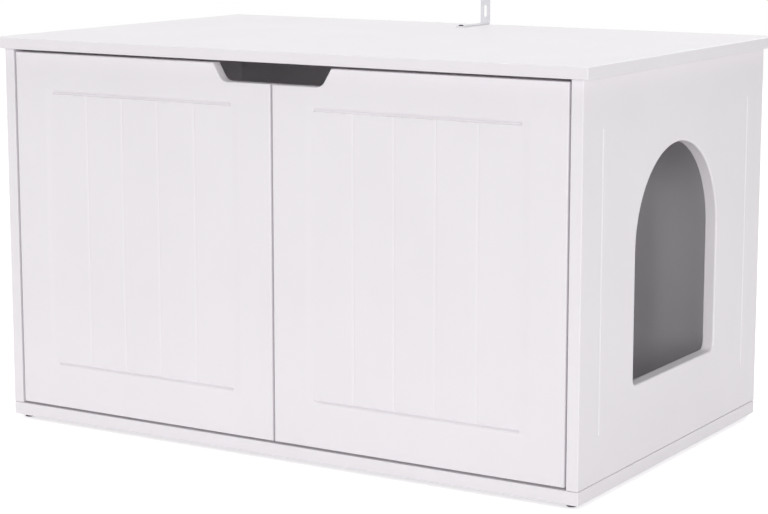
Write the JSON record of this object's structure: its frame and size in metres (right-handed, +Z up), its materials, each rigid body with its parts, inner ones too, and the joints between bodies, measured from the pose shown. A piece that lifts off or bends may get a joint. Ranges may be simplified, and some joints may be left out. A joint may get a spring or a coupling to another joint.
{
  "type": "cat litter box cabinet",
  "caption": "Low white cabinet that hides a cat litter tray: overhanging tabletop, inset doors with grooved fields and a shared finger notch, and an arched cat entrance in the right side.",
  "frame": {"origin": "on the floor, under the middle of the tabletop", "axes": "+X to the right along the doors, +Y from the doors to the back, +Z up through the tabletop"},
  "size_m": [0.9, 0.576, 0.571],
  "materials": {
    "white_board": "fibreboard in satin white lacquer, faintly cool",
    "white_hardboard": "thin hardboard, painted white",
    "nickel_steel": "nickel-plated pressed steel",
    "plated_steel": "zinc-plated steel",
    "zinc": "die-cast zinc alloy, matt",
    "beech": "bare fluted hardwood",
    "black_plastic": "moulded black plastic",
    "grey_steel": "light grey coated steel strip",
    "black_steel": "blackened steel"
  },
  "bodies": {
    "cabinet": {"top_board": "white_board", "base_board": "white_board", "left_side_panel": "white_board", "right_side_panel": "white_board", "back_panel": "white_hardboard", "cam_locks": "zinc", "cam_bolts": "plated_steel", "dowels": "beech", "foot_front_left": "black_plastic", "foot_front_right": "black_plastic", "foot_rear_left": "black_plastic", "foot_rear_right": "black_plastic", "foot_nails": "plated_steel", "wall_angle": "grey_steel", "wall_angle_screw": "black_steel", "hinge_plate_screws": "plated_steel", "hinge_arm_screws": "plated_steel", "left_lower_hinge_arm": "nickel_steel", "left_lower_hinge_plate": "nickel_steel", "left_upper_hinge_arm": "nickel_steel", "left_upper_hinge_plate": "nickel_steel", "right_lower_hinge_arm": "nickel_steel", "right_lower_hinge_plate": "nickel_steel", "right_upper_hinge_arm": "nickel_steel", "right_upper_hinge_plate": "nickel_steel"},
    "left_door_leaf": {"left_door": "white_board", "left_cup_screws": "plated_steel", "left_lower_hinge_cup": "nickel_steel", "left_lower_hinge_pin": "nickel_steel", "left_upper_hinge_cup": "nickel_steel", "left_upper_hinge_pin": "nickel_steel"},
    "right_door_leaf": {"right_door": "white_board", "right_cup_screws": "plated_steel", "right_lower_hinge_cup": "nickel_steel", "right_lower_hinge_pin": "nickel_steel", "right_upper_hinge_cup": "nickel_steel", "right_upper_hinge_pin": "nickel_steel"}
  },
  "joints": [
    {"name": "left_door_hinge", "type": "hinge", "parent": "cabinet", "child": "left_door_leaf", "pos_m": [-0.409, -0.2685, 0.225], "axis": [0, 0, -1], "range_deg": [0, 95]},
    {"name": "right_door_hinge", "type": "hinge", "parent": "cabinet", "child": "right_door_leaf", "pos_m": [0.409, -0.2685, 0.225], "axis": [0, 0, 1], "range_deg": [0, 95]}
  ]
}
